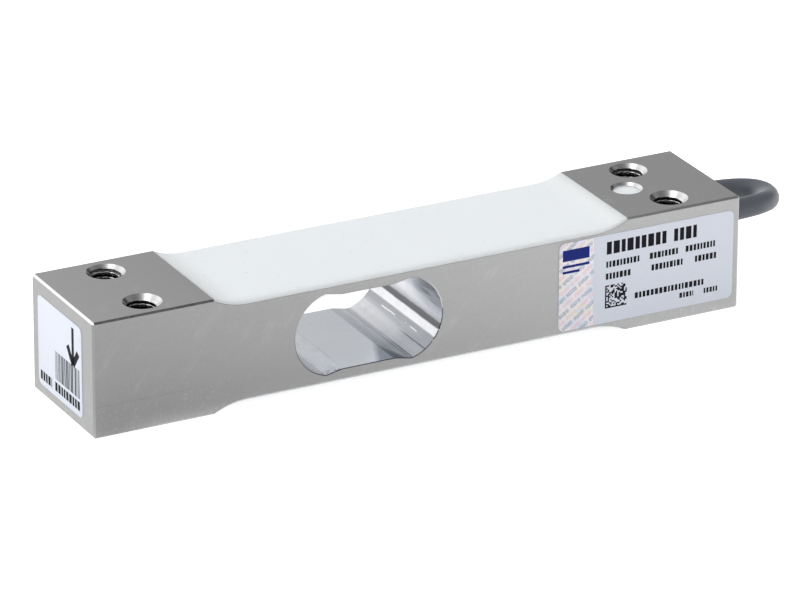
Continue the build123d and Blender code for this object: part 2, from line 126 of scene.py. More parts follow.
# Rows of dashes on the rating label in millimetres: from, to, bottom, top, seed, width and gap of a dash
RATING_ROWS = [
    (37.2, 49.6, 15.65, 18.1, 1, 1.05, 0.38), (51.2, 56.5, 15.65, 18.1, 2, 1.0, 0.38),
    (37.15, 44.1, 13.1, 14.3, 3, 0.52, 0.24), (46.2, 52.35, 13.1, 14.3, 4, 0.52, 0.24),
    (53.7, 60.1, 13.1, 14.3, 5, 0.52, 0.24), (37.1, 42.5, 10.75, 11.95, 6, 0.52, 0.24),
    (46.6, 53.1, 10.75, 11.95, 7, 0.52, 0.24), (55.7, 60.2, 10.75, 11.95, 8, 0.52, 0.24),
    (43.2, 57.6, 5.95, 7.1, 9, 0.55, 0.26), (52.6, 55.5, 4.2, 5.2, 10, 0.46, 0.22),
    (57.7, 60.6, 4.2, 5.2, 11, 0.46, 0.22),
]

# Corners of the six sides of a thin raised plate: its four at the back, then its four at the front
BOX_FACES = ((3, 2, 1, 0), (4, 5, 6, 7), (0, 1, 5, 4), (1, 2, 6, 5), (2, 3, 7, 6), (3, 0, 4, 7))

# Studio: soft lobes of the world (direction, power of the cosine, height), set for the tone that each face of
# the beam has in the main view, and lamps (name, place, aim, size, share of the key power, seen in reflections)
BRIGHT_LOBE = ((-0.39, 0.82, 0.43), 5.0, 0.55)
DIM_LOBE = ((0.43, 0.82, 0.39), 6.0, 0.13)
DARK_LOBE = ((0.43, -0.39, 0.82), 2.0, 0.75)
OVERHEAD_LOBE = ((-0.46, -0.10, 0.882), 28.0, 2.0)
ASIDE_LOBE = ((0.90, 0.35, 0.25), 12.0, 0.8)
LOWEST_LIGHT = 0.05
LAMPS = [
    ("key_light", (-0.45, 0.75, 0.85), (0, 0, 0.01), (0.7, 0.5), 3.05, False),
    ("side_light", (0.75, -0.55, 0.40), (0.03, 0, 0.01), (1.2, 0.9), 3.4, False),
    ("end_light", (-0.85, -0.20, 0.30), (-0.065, 0, 0.01), (0.4, 0.3), 1.05, True),
]
FLOOR_HALF = 3.0
FLOOR_DROP = 0.00005
FLOOR_SHADE = 0.80
FLOOR_GLOW = 0.74


def colour_setting(name, description, default):
    return bpy.props.FloatVectorProperty(
        name=name, description=description, subtype="COLOR", size=4, min=0.0, max=1.0, default=default)


def length_setting(name, description, default, low, high):
    return bpy.props.FloatProperty(
        name=name, description=description, default=default, min=low, max=high,
        subtype="DISTANCE", unit="LENGTH")


class BodySettings(bpy.types.PropertyGroup):
    metal_colour: colour_setting(
        "Metal colour", "Colour of the machined aluminium", (0.400, 0.400, 0.402, 1.0))
    thread_pitch: length_setting(
        "Thread pitch", "Distance between two turns of the threads", 0.001, 0.0003, 0.003)
    thread_core_radius: length_setting(
        "Thread core radius", "Inner radius of the threads", 0.00246, 0.001, 0.0029)


class SiliconeSettings(bpy.types.PropertyGroup):
    thickness: length_setting(
        "Thickness", "Thickness of the silicone in the middle of the relief", 0.0007, 0.0003, 0.0015)
    edge_width: length_setting(
        "Edge width", "Width over which the long edges are rounded down", 0.0018, 0.0005, 0.005)
    colour: colour_setting("Colour", "Colour of the silicone", (0.86, 0.905, 0.93, 1.0))


class LabelSettings(bpy.types.PropertyGroup):
    film_colour: colour_setting("Film colour", "Colour of the white label film", (0.74, 0.782, 0.868, 1.0))
    ink_colour: colour_setting("Ink colour", "Colour of the black print", (0.006, 0.006, 0.010, 1.0))
    blue_colour: colour_setting(
        "Blue ink colour", "Colour of the blue print on the foil", (0.012, 0.025, 0.20, 1.0))


class CableSettings(bpy.types.PropertyGroup):
    jacket_colour: colour_setting("Jacket colour", "Colour of the cable's jacket", (0.083, 0.094, 0.111, 1.0))
    bevel_resolution: bpy.props.IntProperty(
        name="Roundness", description="Steps in a quarter of the cable's round section",
        default=6, min=2, max=12)


class StudioSettings(bpy.types.PropertyGroup):
    world_strength: bpy.props.FloatProperty(
        name="World strength", description="Strength of the light from all round",
        default=0.785, min=0.0, max=2.0)
    key_power: bpy.props.FloatProperty(
        name="Key power", description="Power of the large soft light",
        default=1.2, min=0.0, max=20.0, unit="POWER")


def settings():
    return bpy.context.scene


def relief_height(x, drop):
    """Height of the relief over x for a floor that lies drop below the top face.

    It is the floor where |x| is short of the arc, and from there floor + R - sqrt(R^2 - s^2),
    with s the distance from the arc's foot and R the arc's radius.
    """
    run = np.sqrt(drop * (2 * RELIEF_RADIUS - drop))
    s = np.clip(np.abs(x) - (BLOCK_EDGE - run), 0.0, run)
    return BODY_HEIGHT - drop + RELIEF_RADIUS - np.sqrt(RELIEF_RADIUS**2 - s**2)


def mesh_object(name, points, faces, material, smooth=True):
    """Object at the origin with the given points and faces."""
    mesh = bpy.data.meshes.new(name)
    mesh.from_pydata([tuple(p) for p in np.asarray(points).tolist()], [], [tuple(f) for f in faces])
    mesh.validate()
    mesh.update()
    mesh.polygons.foreach_set("use_smooth", [smooth] * len(mesh.polygons))
    obj = bpy.data.objects.new(name, mesh)
    bpy.context.collection.objects.link(obj)
    mesh.materials.append(material)
    return obj


def grid_faces(rows, columns):
    """Quads of a grid of rows by columns points whose last column joins the first."""
    i = np.arange(rows - 1)[:, None] * columns
    j = np.arange(columns)[None, :]
    k = (j + 1) % columns
    return np.stack([i + j, i + k, i + columns + k, i + columns + j], axis=-1).reshape(-1, 4).tolist()


def sharpen(obj, degrees):
    """Marks edges as sharp where the faces turn by more than the given angle."""
    obj.data.set_sharp_from_angle(angle=math.radians(degrees))


# Materials

# painted reflection tone: the dark wedges in the opening, also used for its thin dark lines
DARK_REFLECTION_TONE = (0.16, 0.19, 0.22, 1)  # blue grey of the wedges in the opening
HAZE = (0.25, 0.27, 0.30, 1)  # darker metal between the streaks of a cutter

# Colour of the opening's wall over the angle round the bore at the cable end, in bands of painted
# reflection: the first stop's 0 lies at -WALL_START radians and 1 lies WALL_SPAN radians further
WALL_START = 1.9
WALL_SPAN = 2.5
WALL_REFLECTION_STOPS = [
    (0.08, 0.78, 0.80, 0.84), (0.12, 0.80, 0.82, 0.86), (0.17, 0.93, 0.94, 0.97),
    (0.19, 0.93, 0.94, 0.97), (0.215, 0.70, 0.71, 0.74), (0.235, 0.70, 0.71, 0.74),
    (0.26, 0.93, 0.94, 0.96), (0.36, 0.93, 0.94, 0.96), (0.40, 0.80, 0.81, 0.83),
    (0.425, 0.50, 0.51, 0.54), (0.45, 0.38, 0.39, 0.41), (0.50, 0.36, 0.37, 0.39),
    (0.515, 0.93, 0.93, 0.95), (0.578, 0.90, 0.90, 0.92), (0.592, 0.12, 0.12, 0.13),
    (0.638, 0.13, 0.13, 0.14), (0.656, 0.50, 0.50, 0.53), (0.69, 0.66, 0.67, 0.71),
    (0.77, 0.74, 0.75, 0.79), (0.80, 0.52, 0.55, 0.60), (0.83, 0.54, 0.57, 0.62),
    (0.93, 0.70, 0.73, 0.77),
]
# colours of the foil's painted sheen
FOIL_SHEEN_STOPS = [
    (0.30, 0.61, 0.67, 0.83), (0.42, 0.78, 0.81, 0.89), (0.52, 0.88, 0.84, 0.88),
    (0.62, 0.88, 0.86, 0.74), (0.74, 0.70, 0.77, 0.89),
]


class Shader:
    """Adds nodes to a tree and joins them. Its surface is the tree's Principled shader, if it has one."""

    def __init__(self, tree, surface=None):
        self.tree = tree
        self.surface = surface

    def add(self, kind):
        return self.tree.nodes.new(kind)

    def put(self, socket, value):
        if isinstance(value, bpy.types.NodeSocket):
            self.tree.links.new(value, socket)
        else:
            socket.default_value = value

    def math(self, operation, a, b=0.0):
        node = self.add("ShaderNodeMath")
        node.operation = operation
        self.put(node.inputs[0], a)
        self.put(node.inputs[1], b)
        return node.outputs[0]

    def times(self, value, *factors):
        for factor in factors:
            value = self.math("MULTIPLY", value, factor)
        return value

    def plus(self, a, b):
        return self.math("ADD", a, b)

    def minus(self, a, b):
        return self.math("SUBTRACT", a, b)

    def scaled(self, value, gain, offset):
        """gain * value + offset."""
        return self.plus(self.times(value, gain), offset)

    def clamp(self, value):
        node = self.add("ShaderNodeClamp")
        self.put(node.inputs["Value"], value)
        return node.outputs[0]

    def over(self, value, threshold, gain):
        """0 below the threshold, rising to 1 by the gain above it. A gain below 0 turns it round."""
        return self.clamp(self.times(self.minus(value, threshold), gain))

    def within(self, value, low, high, soft):
        """1 where the value lies between low and high, fading to 0 over soft on each side."""
        rise = self.over(value, low - soft, 1.0 / soft)
        return self.times(rise, self.minus(1.0, self.over(value, high, 1.0 / soft)))

    def ramp(self, value, stops):
        node = self.add("ShaderNodeValToRGB")
        elements = node.color_ramp.elements
        while len(elements) < len(stops):
            elements.new(0.5)
        for element, (position, *colour) in zip(elements, stops):
            element.position = position
            element.color = (*colour, 1.0)
        self.put(node.inputs["Fac"], value)
        return node.outputs["Color"]

    def mix(self, factor, a, b):
        node = self.add("ShaderNodeMix")
        node.data_type = "RGBA"
        self.put(node.inputs["Factor"], factor)
        self.put(node.inputs[6], a)
        self.put(node.inputs[7], b)
        return node.outputs[2]

    def noise(self, vector, scale, detail=2.0, roughness=0.5):
        node = self.add("ShaderNodeTexNoise")
        values = {"Vector": vector, "Scale": scale, "Detail": detail, "Roughness": roughness}
        for name, value in values.items():
            self.put(node.inputs[name], value)
        return node.outputs["Fac"]

    def specks(self, scale, share):
        """Mask of small scattered spots: the peaks of a fine noise."""
        return self.over(self.noise(self.place(), scale, 1.0, 0.5), share, 14.0)

    def place(self, scale=(1.0, 1.0, 1.0), turn=0.0):
        """Object coordinates, turned about Y by the given degrees and then scaled."""
        mapping = self.add("ShaderNodeMapping")
        mapping.vector_type = "TEXTURE"
        mapping.inputs["Scale"].default_value = tuple(1.0 / k for k in scale)
        mapping.inputs["Rotation"].default_value = (0.0, math.radians(turn), 0.0)
        self.put(mapping.inputs["Vector"], self.add("ShaderNodeTexCoord").outputs["Object"])
        return mapping.outputs["Vector"]

    def axes(self):
        """X, Y and Z of the object coordinates."""
        split = self.add("ShaderNodeSeparateXYZ")
        self.put(split.inputs["Vector"], self.add("ShaderNodeTexCoord").outputs["Object"])
        return split.outputs[0], split.outputs[1], split.outputs[2]

    def group(self, name, **values):
        """Outputs of a node group, with its inputs set or joined."""
        node = self.add("ShaderNodeGroup")
        node.node_tree = bpy.data.node_groups[name]
        for key, value in values.items():
            self.put(node.inputs[key], value)
        return node.outputs

    def finish(self, colour, roughness, metallic=0.0):
        self.put(self.surface.inputs["Base Color"], colour)
        self.put(self.surface.inputs["Roughness"], roughness)
        self.put(self.surface.inputs["Metallic"], metallic)

    def bump(self, height, strength, distance):
        """Bump node between a height and the surface's normal."""
        node = self.add("ShaderNodeBump")
        node.inputs["Strength"].default_value = strength
        node.inputs["Distance"].default_value = distance
        self.put(node.inputs["Height"], height)
        self.put(self.surface.inputs["Normal"], node.outputs["Normal"])


def new_material(name):
    """Material with a Principled shader in an otherwise empty tree, and the helper for its nodes."""
    material = bpy.data.materials.new(name)
    material.use_nodes = True
    tree = material.node_tree
    tree.nodes.clear()
    output = tree.nodes.new("ShaderNodeOutputMaterial")
    surface = tree.nodes.new("ShaderNodeBsdfPrincipled")
    tree.links.new(surface.outputs["BSDF"], output.inputs["Surface"])
    return material, Shader(tree, surface)


def shade(colour, factor):
    """The colour made lighter or darker by a factor."""
    return tuple(min(1.0, c * factor) for c in colour[:3]) + (1.0,)


def group_tree(name, numbers, outputs):
    """Shader node group with a Vector, named numbers with their defaults, and outputs that are numbers."""
    tree = bpy.data.node_groups.new(name, "ShaderNodeTree")
    tree.interface.new_socket("Vector", in_out="INPUT", socket_type="NodeSocketVector")
    for label, default in numbers.items():
        socket = tree.interface.new_socket(label, in_out="INPUT", socket_type="NodeSocketFloat")
        socket.default_value = default
    for label in outputs:
        tree.interface.new_socket(label, in_out="OUTPUT", socket_type="NodeSocketFloat")
    source = tree.nodes.new("NodeGroupInput").outputs
    target = tree.nodes.new("NodeGroupOutput").inputs
    return Shader(tree), source, target


def hairline_group():
    """Fine hairlines of a cutter or a rub: noise squeezed hard across one axis.

    Mask is 0 to 1 along the lines, Height is the same for a Bump node.
    """
    sh, source, target = group_tree("Hairlines", {"Density": 900.0, "Spread": 0.25}, ["Mask", "Height"])
    fine = sh.noise(source["Vector"], source["Density"], 3.0, 0.6)
    coarse = sh.noise(source["Vector"], sh.times(source["Density"], 0.21), 2.0, 0.5)
    both = sh.plus(sh.times(fine, 0.65), sh.times(coarse, 0.35))
    centred = sh.math("DIVIDE", sh.minus(both, 0.5), source["Spread"])
    sh.put(target["Mask"], sh.clamp(sh.scaled(centred, 0.5, 0.5)))
    sh.put(target["Height"], both)


def smudge_group():
    """Soft patches left by hands and coolant: two sizes of noise, cut at a threshold."""
    sh, source, target = group_tree("Smudges", {"Size": 90.0, "Cut": 0.5}, ["Mask"])
    large = sh.noise(source["Vector"], source["Size"], 4.0, 0.62)
    small = sh.noise(source["Vector"], sh.times(source["Size"], 6.0), 3.0, 0.6)
    both = sh.plus(sh.times(large, 0.75), sh.times(small, 0.25))
    sh.put(target["Mask"], sh.over(both, source["Cut"], 6.0))


def machined_metal():
    """Satin machined aluminium with fine lines along the beam, slanted rubs and small specks.

    On the end blocks the specks grow denser towards the bottom face, below a faint line that a vice jaw left.
    """
    colour = tuple(settings().load_cell_body.metal_colour)
    material, sh = new_material("machined_aluminium")
    x, _, z = sh.axes()
    lines = sh.group("Hairlines", Vector=sh.place(scale=(0.06, 1.0, 1.0)), Density=5200.0, Spread=0.30)
    rubs = sh.group("Smudges", Vector=sh.place(scale=(0.5, 1.0, 1.7), turn=-52.0), Size=210.0, Cut=0.56)
    low = sh.times(sh.over(z, 0.0085, -280.0), sh.over(sh.math("ABSOLUTE", x), 0.036, 160.0))
    fine = sh.times(sh.specks(2100.0, 0.60), sh.scaled(low, 0.16, 0.10))
    spots = sh.clamp(sh.plus(fine, sh.times(sh.specks(1700.0, 0.72), 0.08)))
    jaw = sh.times(sh.within(z, 0.00586, 0.00594, 0.00012), sh.within(x, -0.064, -0.049, 0.008))
    # worn is a painted highlight: the top face lightens towards the load end
    worn = sh.times(sh.over(z, BODY_HEIGHT - 0.0003, 9000.0), sh.over(x, -0.030, -30.0))
    base = sh.mix(sh.times(lines["Mask"], 0.4), colour, shade(colour, 0.92))
    base = sh.mix(sh.times(rubs["Mask"], 0.75), base, shade(colour, 1.13))
    base = sh.mix(spots, base, shade(colour, 1.50))
    # painted highlight on the top face towards the load end
    base = sh.mix(sh.times(worn, 0.36), base, shade(colour, 1.50))
    base = sh.mix(sh.times(jaw, lines["Mask"], 0.42), base, shade(colour, 0.62))
    rough = sh.minus(sh.scaled(lines["Mask"], 0.07, 0.40), sh.times(rubs["Mask"], 0.04))
    sh.finish(base, rough, 1.0)
    sh.bump(sh.plus(lines["Height"], sh.times(spots, 0.4)), 0.10, 0.00004)
    return material


def edge_metal():
    """Broken edges along the beam: dark, ragged at the free load end, light and speckled at the cable end."""
    material, sh = new_material("broken_edge")
    grain = sh.noise(sh.place(scale=(0.6, 1.0, 1.0)), 1300.0, 3.0, 0.65)
    at_load_end = sh.over(sh.axes()[0], -0.0400, -900.0)
    ragged = sh.over(sh.plus(grain, sh.times(at_load_end, 0.35)), 0.80, 7.0)
    light = sh.mix(grain, (0.62, 0.62, 0.63, 1), (0.44, 0.44, 0.45, 1))
    base = sh.mix(at_load_end, light, (0.36, 0.36, 0.365, 1))
    sh.finish(sh.mix(ragged, base, (0.22, 0.22, 0.225, 1)), sh.scaled(ragged, 0.2, 0.38), 1.0)
    sh.bump(grain, 0.3, 0.0001)
    return material


def grained_metal(name, scale, squeeze, detail, rough, colours, gloss):
    """Metal whose colour and roughness both follow one noise."""
    material, sh = new_material(name)
    grain = sh.noise(sh.place(scale=squeeze), scale, detail, rough)
    sh.finish(sh.mix(grain, *colours), sh.scaled(grain, *gloss), 1.0)
    return material


def bright_edge_metal():
    """Freshly cut edges across the beam: bright, a little worn."""
    return grained_metal("bright_edge", 900.0, (1.0, 1.0, 1.0), 3.0, 0.6,
                         ((0.97, 0.97, 0.98, 1), (0.86, 0.86, 0.87, 1)), (0.1, 0.30))


def bright_cut():
    """Bright turned metal of the countersinks: smooth, with hardly visible rings."""
    return grained_metal("bright_countersink", 5200.0, (0.1, 0.1, 1.0), 2.0, 0.5,
                         ((0.80, 0.80, 0.81, 1), (0.66, 0.66, 0.67, 1)), (0.06, 0.17))


def shaded_thread_metal():
    """Cut thread: metal darkened with painted shade, as deep in a hole."""
    return grained_metal("thread_painted_shade", 420.0, (1.0, 1.0, 1.0), 2.0, 0.5,
                         ((0.15, 0.15, 0.155, 1), (0.06, 0.06, 0.065, 1)), (0.10, 0.16))


def near_wedge_reflection(sh, x, y, z):
    """Mask of a painted dark reflection: a wedge on the opening's floor, which opens to the near rim at the
    right flexure.
    """
    spread = sh.times(sh.math("ABSOLUTE", sh.plus(x, 0.0063)), 2.4)
    wedge = sh.over(sh.minus(sh.times(y, -1.0), spread), 0.0042, 330.0)
    return sh.times(wedge, sh.over(z, 0.0085, -900.0))


def bored_metal():
    """Wall of the bores, with ragged bands from side to side.

    The bands are painted reflections, standing in for what the wall of the bore at the cable end mirrors in
    the main view. They are base colour, so they stay where they are in other views. On them lie a painted
    highlight, a bright broken line where two cuts meet, painted dark reflections, wedges of a darker blue grey
    that run in from the near rim, and a few thin dark lines. The bore at the load end is plain, with a scuff by
    its near rim.
    """
    material, sh = new_material("bored_opening")
    x, y, z = sh.axes()
    streaks = sh.group("Hairlines", Vector=sh.place(scale=(1.0, 0.03, 1.0)), Density=1300.0, Spread=0.24)
    wander = sh.noise(sh.place(scale=(1.0, 0.25, 1.0)), 620.0, 3.0, 0.65)
    patches = sh.noise(sh.place(scale=(1.0, 0.6, 1.0)), 430.0, 4.0, 0.6)
    around = sh.math("ARCTAN2", sh.minus(z, BODY_HEIGHT / 2), sh.minus(x, BORE_CENTRES[1]))
    ragged = sh.plus(around, sh.times(sh.minus(wander, 0.5), 0.04))
    inward = sh.clamp(sh.times(sh.minus(-0.002, y), 260.0))
    on_right = sh.over(x, sum(BORE_CENTRES) / 2, 900.0)
    torn = sh.times(sh.over(ragged, -0.80, -12.0), on_right)

    pecked = sh.over(sh.noise(sh.place(), 480.0, 2.0, 0.5), 0.47, 12.0)
    pecked = sh.times(pecked, sh.within(y, -0.0076, -0.003, 0.0006))
    broken = sh.math("MAXIMUM", sh.within(y, 0.0016, 0.0063, 0.0006), pecked)
    # painted highlight: a bright broken line where two cuts meet
    meeting_glint = sh.times(sh.within(ragged, -0.766, -0.757, 0.014), broken)
    bands = sh.ramp(sh.math("DIVIDE", sh.plus(ragged, WALL_START), WALL_SPAN), WALL_REFLECTION_STOPS)
    # the torn band darkens a little towards the near rim in the painted dark reflection tone
    bands = sh.mix(sh.times(torn, inward, 0.14), bands, DARK_REFLECTION_TONE)
    bands = sh.mix(sh.times(meeting_glint, 0.75), bands, (1.0, 1.0, 1.0, 1))

    scuffed = sh.times(sh.within(x, -0.0202, -0.0166, 0.0008), sh.over(y, -0.0106, -700.0))
    scuffed = sh.times(scuffed, sh.over(sh.noise(sh.place(), 1400.0, 2.0, 0.6), 0.44, 7.0))
    left = sh.mix(sh.times(scuffed, 0.8), (0.66, 0.68, 0.72, 1), (0.12, 0.14, 0.16, 1))

    scores = sh.plus(sh.within(ragged, -1.350, -1.305, 0.03), sh.within(ragged, -0.975, -0.960, 0.02))
    combed = sh.over(sh.noise(sh.place(scale=(1.0, 0.08, 1.0), turn=20.0), 1150.0, 1.0, 0.5), 0.5, 9.0)
    slope = sh.within(sh.plus(ragged, sh.times(y, 34.0)), 0.12, 0.22, 0.12)
    high_wedge = sh.math("MAXIMUM", slope, sh.times(sh.over(around, 0.02, 30.0), combed))
    # painted dark reflections, the wedges, joined with the thin dark lines
    reflection_wedges_and_lines = sh.times(sh.math("MAXIMUM", high_wedge, sh.clamp(scores)), inward)
    reflection_wedges_and_lines = sh.math("MAXIMUM", reflection_wedges_and_lines, near_wedge_reflection(sh, x, y, z))

    base = sh.mix(on_right, left, bands)
    base = sh.mix(sh.times(reflection_wedges_and_lines, on_right, 0.75), base, DARK_REFLECTION_TONE)
    base = sh.mix(sh.times(sh.over(patches, 0.5, 5.0), 0.16), base, HAZE)
    base = sh.mix(sh.times(streaks["Mask"], sh.scaled(on_right, 0.12, 0.05)), base, HAZE)
    sh.finish(base, sh.plus(sh.scaled(streaks["Mask"], 0.08, 0.24), sh.times(torn, 0.31)), 1.0)
    sh.bump(sh.plus(streaks["Height"], wander), 0.10, 0.00006)
    return material


def slot_metal():
    """Flat of the slot: milled along the beam, a cool even grey with faint passes of the cutter."""
    material, sh = new_material("milled_slot")
    passes = sh.group("Hairlines", Vector=sh.place(scale=(0.12, 1.0, 1.0)), Density=700.0, Spread=0.30)
    base = sh.mix(passes["Mask"], (0.715, 0.74, 0.78, 1), (0.665, 0.69, 0.74, 1))
    # painted dark reflection: the wedge on the slot's flat that opens to the near rim
    base = sh.mix(sh.times(near_wedge_reflection(sh, *sh.axes()), 0.75), base, DARK_REFLECTION_TONE)
    sh.finish(base, sh.scaled(passes["Mask"], 0.08, 0.22), 1.0)
    sh.bump(passes["Height"], 0.06, 0.00005)
    return material


def rim_metal():
    """Deburred rim of the opening: dark below and light above, with a painted shadow on its right, black with
    light specks.
    """
    material, sh = new_material("deburred_rim")
    x, _, z = sh.axes()
    grain = sh.noise(sh.place(), 1500.0, 2.0, 0.6)
    dark = sh.over(sh.plus(z, sh.times(sh.minus(grain, 0.5), 0.006)), 0.0125, -700.0)
    # painted shadow: black with light specks, at mid height on the rim's right side
    shadow_arc = sh.times(sh.within(z, 0.0062, 0.0098, 0.0008), sh.over(x, 0.0, 900.0))
    speckled = sh.mix(sh.over(grain, 0.60, 14.0), (0.01, 0.01, 0.01, 1), (0.95, 0.95, 0.95, 1))
    base = sh.mix(dark, (0.80, 0.81, 0.83, 1), (0.10, 0.10, 0.11, 1))
    sh.finish(sh.mix(shadow_arc, base, speckled), sh.scaled(grain, 0.15, 0.28), 1.0)
    return material


def silicone_material():
    """Cast silicone: milky, a little translucent, with soft dents and a few specks."""
    colour = tuple(settings().load_cell_silicone.colour)
    material, sh = new_material("white_silicone")
    cloud = sh.noise(sh.place(), 60.0, 3.0, 0.5)
    tint = sh.mix(sh.times(cloud, 0.6), colour, shade(colour, 0.965))
    dust = sh.times(sh.specks(1300.0, 0.73), 0.45)
    sh.finish(sh.mix(dust, tint, (0.52, 0.54, 0.57, 1)), 0.36)
    inputs = sh.surface.inputs
    inputs["IOR"].default_value = 1.41
    inputs["Subsurface Weight"].default_value = 0.35
    inputs["Subsurface Radius"].default_value = (0.9, 1.0, 1.1)
    inputs["Subsurface Scale"].default_value = 0.0008
    sh.bump(sh.noise(sh.place(), 150.0, 3.0, 0.5), 0.25, 0.0006)
    return material


def film_material():
    """White label film with a slight sheen."""
    colour = tuple(settings().load_cell_label.film_colour)
    material, sh = new_material("label_film")
    fibre = sh.noise(sh.place(), 1500.0, 2.0, 0.5)
    sh.finish(sh.mix(fibre, colour, shade(colour, 0.975)), 0.42)
    sh.bump(fibre, 0.04, 0.00005)
    return material


def ink_material(name, colour):
    """Printed ink, thin places a little lighter."""
    material, sh = new_material(name)
    worn = sh.noise(sh.place(), 2600.0, 2.0, 0.6)
    sh.finish(sh.mix(worn, colour, tuple(c + 0.008 for c in colour[:3]) + (1.0,)), 0.55)
    sh.surface.inputs["Specular IOR Level"].default_value = 0.08
    return material


def foil_material():
    """Pale foil: slanted rows of short broken dashes, grey blue and faint pink in turn, over a soft painted
    sheen.
    """
    material, sh = new_material("label_foil")
    split = sh.add("ShaderNodeSeparateXYZ")
    sh.put(split.inputs[0], sh.place(turn=-35.0))
    along, level = split.outputs[0], split.outputs[2]
    fine = sh.noise(sh.place(), 3800.0, 1.0, 0.5)
    wobble = sh.times(sh.minus(fine, 0.5), 0.55)
    rows = sh.times(level, 1 / 0.00122)
    row = sh.math("FLOOR", rows)
    inside = sh.within(sh.plus(sh.math("FRACT", rows), wobble), 0.25, 0.75, 0.16)
    dash = sh.math("FRACT", sh.plus(sh.times(along, 1 / 0.0029), sh.times(row, 0.37)))
    piece = sh.within(sh.plus(dash, wobble), 0.10, 0.86, 0.10)
    mark = sh.times(inside, piece, sh.scaled(sh.over(fine, 0.40, 6.0), 0.6, 0.4))
    # painted sheen: soft patches of pale colour
    sheen = sh.ramp(sh.noise(sh.place(), 300.0, 3.0, 0.6), FOIL_SHEEN_STOPS)
    pink = sh.over(sh.math("FRACT", sh.times(row, 0.5)), 0.25, 20.0)
    hue = sh.mix(pink, (0.36, 0.40, 0.51, 1), (0.80, 0.62, 0.66, 1))
    sh.finish(sh.mix(sh.times(mark, 0.85), sheen, hue), 0.30, 0.15)
    sh.bump(mark, 0.08, 0.00003)
    return material


def jacket_material():
    """Dark grey cable jacket: satin with very fine grain."""
    colour = tuple(settings().load_cell_cable.jacket_colour)
    material, sh = new_material("cable_jacket")
    grain = sh.noise(sh.place(), 2400.0, 3.0, 0.6)
    cloud = sh.noise(sh.place(), 160.0, 2.0, 0.5)
    sh.finish(sh.mix(cloud, colour, shade(colour, 1.18)), sh.scaled(grain, 0.12, 0.42))
    sh.bump(grain, 0.06, 0.0001)
    return material


def plain_material(name, colour, roughness, metallic=0.0):
    """Plain finish with a light variation in tone and gloss."""
    material, sh = new_material(name)
    cloud = sh.noise(sh.place(), 900.0, 3.0, 0.55)
    sh.finish(sh.mix(cloud, (*colour, 1.0), shade(colour, 0.82)), sh.scaled(cloud, 0.06, roughness), metallic)
    return material


def make_camera():
    """Camera that sees the object as the photograph does."""
    data = bpy.data.cameras.new("camera")
    data.sensor_fit = "HORIZONTAL"
    data.sensor_width = SENSOR_WIDTH
    data.lens = CAMERA_LENS
    data.clip_start = 0.05
    data.clip_end = 20.0
    camera = bpy.data.objects.new("camera", data)
    bpy.context.collection.objects.link(camera)
    right, down, forward = Vector(CAMERA_RIGHT), Vector(CAMERA_DOWN), Vector(CAMERA_FORWARD)
    turn = Matrix((right, -down, -forward)).transposed().to_4x4()
    camera.matrix_world = Matrix.Translation(CAMERA_PLACE) @ turn
    bpy.context.scene.camera = camera


def fold_points(side):
    """Control points of one fold of the hank, from the strand that comes in to the strand that goes back.

    They lie on a circle of radius R / cos(step / 2) round the fold's middle, so that the curve runs at R.
    """
    neck_x = HANK_MIDDLE[0] + side * (HANK_WAIST / 2 + HANK_NECK)
    middle_x = HANK_MIDDLE[0] + side * (HANK_WAIST / 2 + HANK_NECK + HANK_FOLD_DISTANCE)
    middle_y = HANK_MIDDLE[1] + side * HANK_PITCH / 2
    reach = HANK_FOLD_RADIUS / math.cos(FOLD_STEP / 2)
    angles = np.arange(-120, 121, 30) * math.pi / 180
    ring = np.stack([
        middle_x + side * reach * np.cos(angles),
        middle_y + reach * np.sin(angles),
        np.full(angles.shape, CABLE_RADIUS),
    ], axis=1)
    first = (neck_x, middle_y - HANK_PITCH / 2, NECK_LEVEL)
    last = (neck_x, middle_y + HANK_PITCH / 2, NECK_LEVEL)
    return [first] + [tuple(p) for p in ring.tolist()] + [last]


def cable_points():
    """Way of the cable: out of the end face, three runs with two folds between them, and the tail."""
    left = HANK_MIDDLE[0] - HANK_WAIST / 2
    right = HANK_MIDDLE[0] + HANK_WAIST / 2
    low, middle, high = (HANK_MIDDLE[1] + k * HANK_PITCH for k in (-1, 0, 1))
    way = list(CABLE_ROUTE)
    way += [(left, low, RUN_LEVEL)] + fold_points(-1) + [(left, middle, RUN_LEVEL)]
    way += [(right, middle, RUN_LEVEL)] + fold_points(1) + [(right, high, RUN_LEVEL)]
    return way + list(TAIL_ROUTE)


def nurbs(name, points, radius, material, roundness):
    """Round cord along a NURBS curve of order 3 that ends at its first and last points."""
    data = bpy.data.curves.new(name, "CURVE")
    data.dimensions = "3D"
    data.resolution_u = 12
    data.render_resolution_u = 12
    data.bevel_depth = radius
    data.bevel_resolution = roundness
    data.use_fill_caps = True
    spline = data.splines.new("NURBS")
    spline.points.add(len(points) - 1)
    for point, place in zip(spline.points, points):
        point.co = (*place, 1.0)
    spline.order_u = 3
    spline.use_endpoint_u = True
    spline.use_smooth = True
    data.materials.append(material)
    obj = bpy.data.objects.new(name, data)
    bpy.context.collection.objects.link(obj)
    return obj


def spline_length(points):
    """Length of the quadratic B-spline over the control points, sampled at 40 places a span."""
    p = np.array(points)
    mids = (p[1:] + p[:-1]) / 2
    mids[0], mids[-1] = p[0], p[-1]
    t = np.linspace(0, 1, 41)[None, :, None]
    a, b, c = mids[:-1, None, :], p[1:-1, None, :], mids[1:, None, :]
    line = (a * (1 - t) ** 2 + 2 * b * t * (1 - t) + c * t**2).reshape(-1, 3)
    return float(np.linalg.norm(np.diff(line, axis=0), axis=1).sum())


class LOADCELL_OT_camera(bpy.types.Operator):
    """Place the camera at the photograph's viewing angle"""
    bl_idname = "load_cell.camera"
    bl_label = "Camera"

    def execute(self, context):
        make_camera()
        return {"FINISHED"}


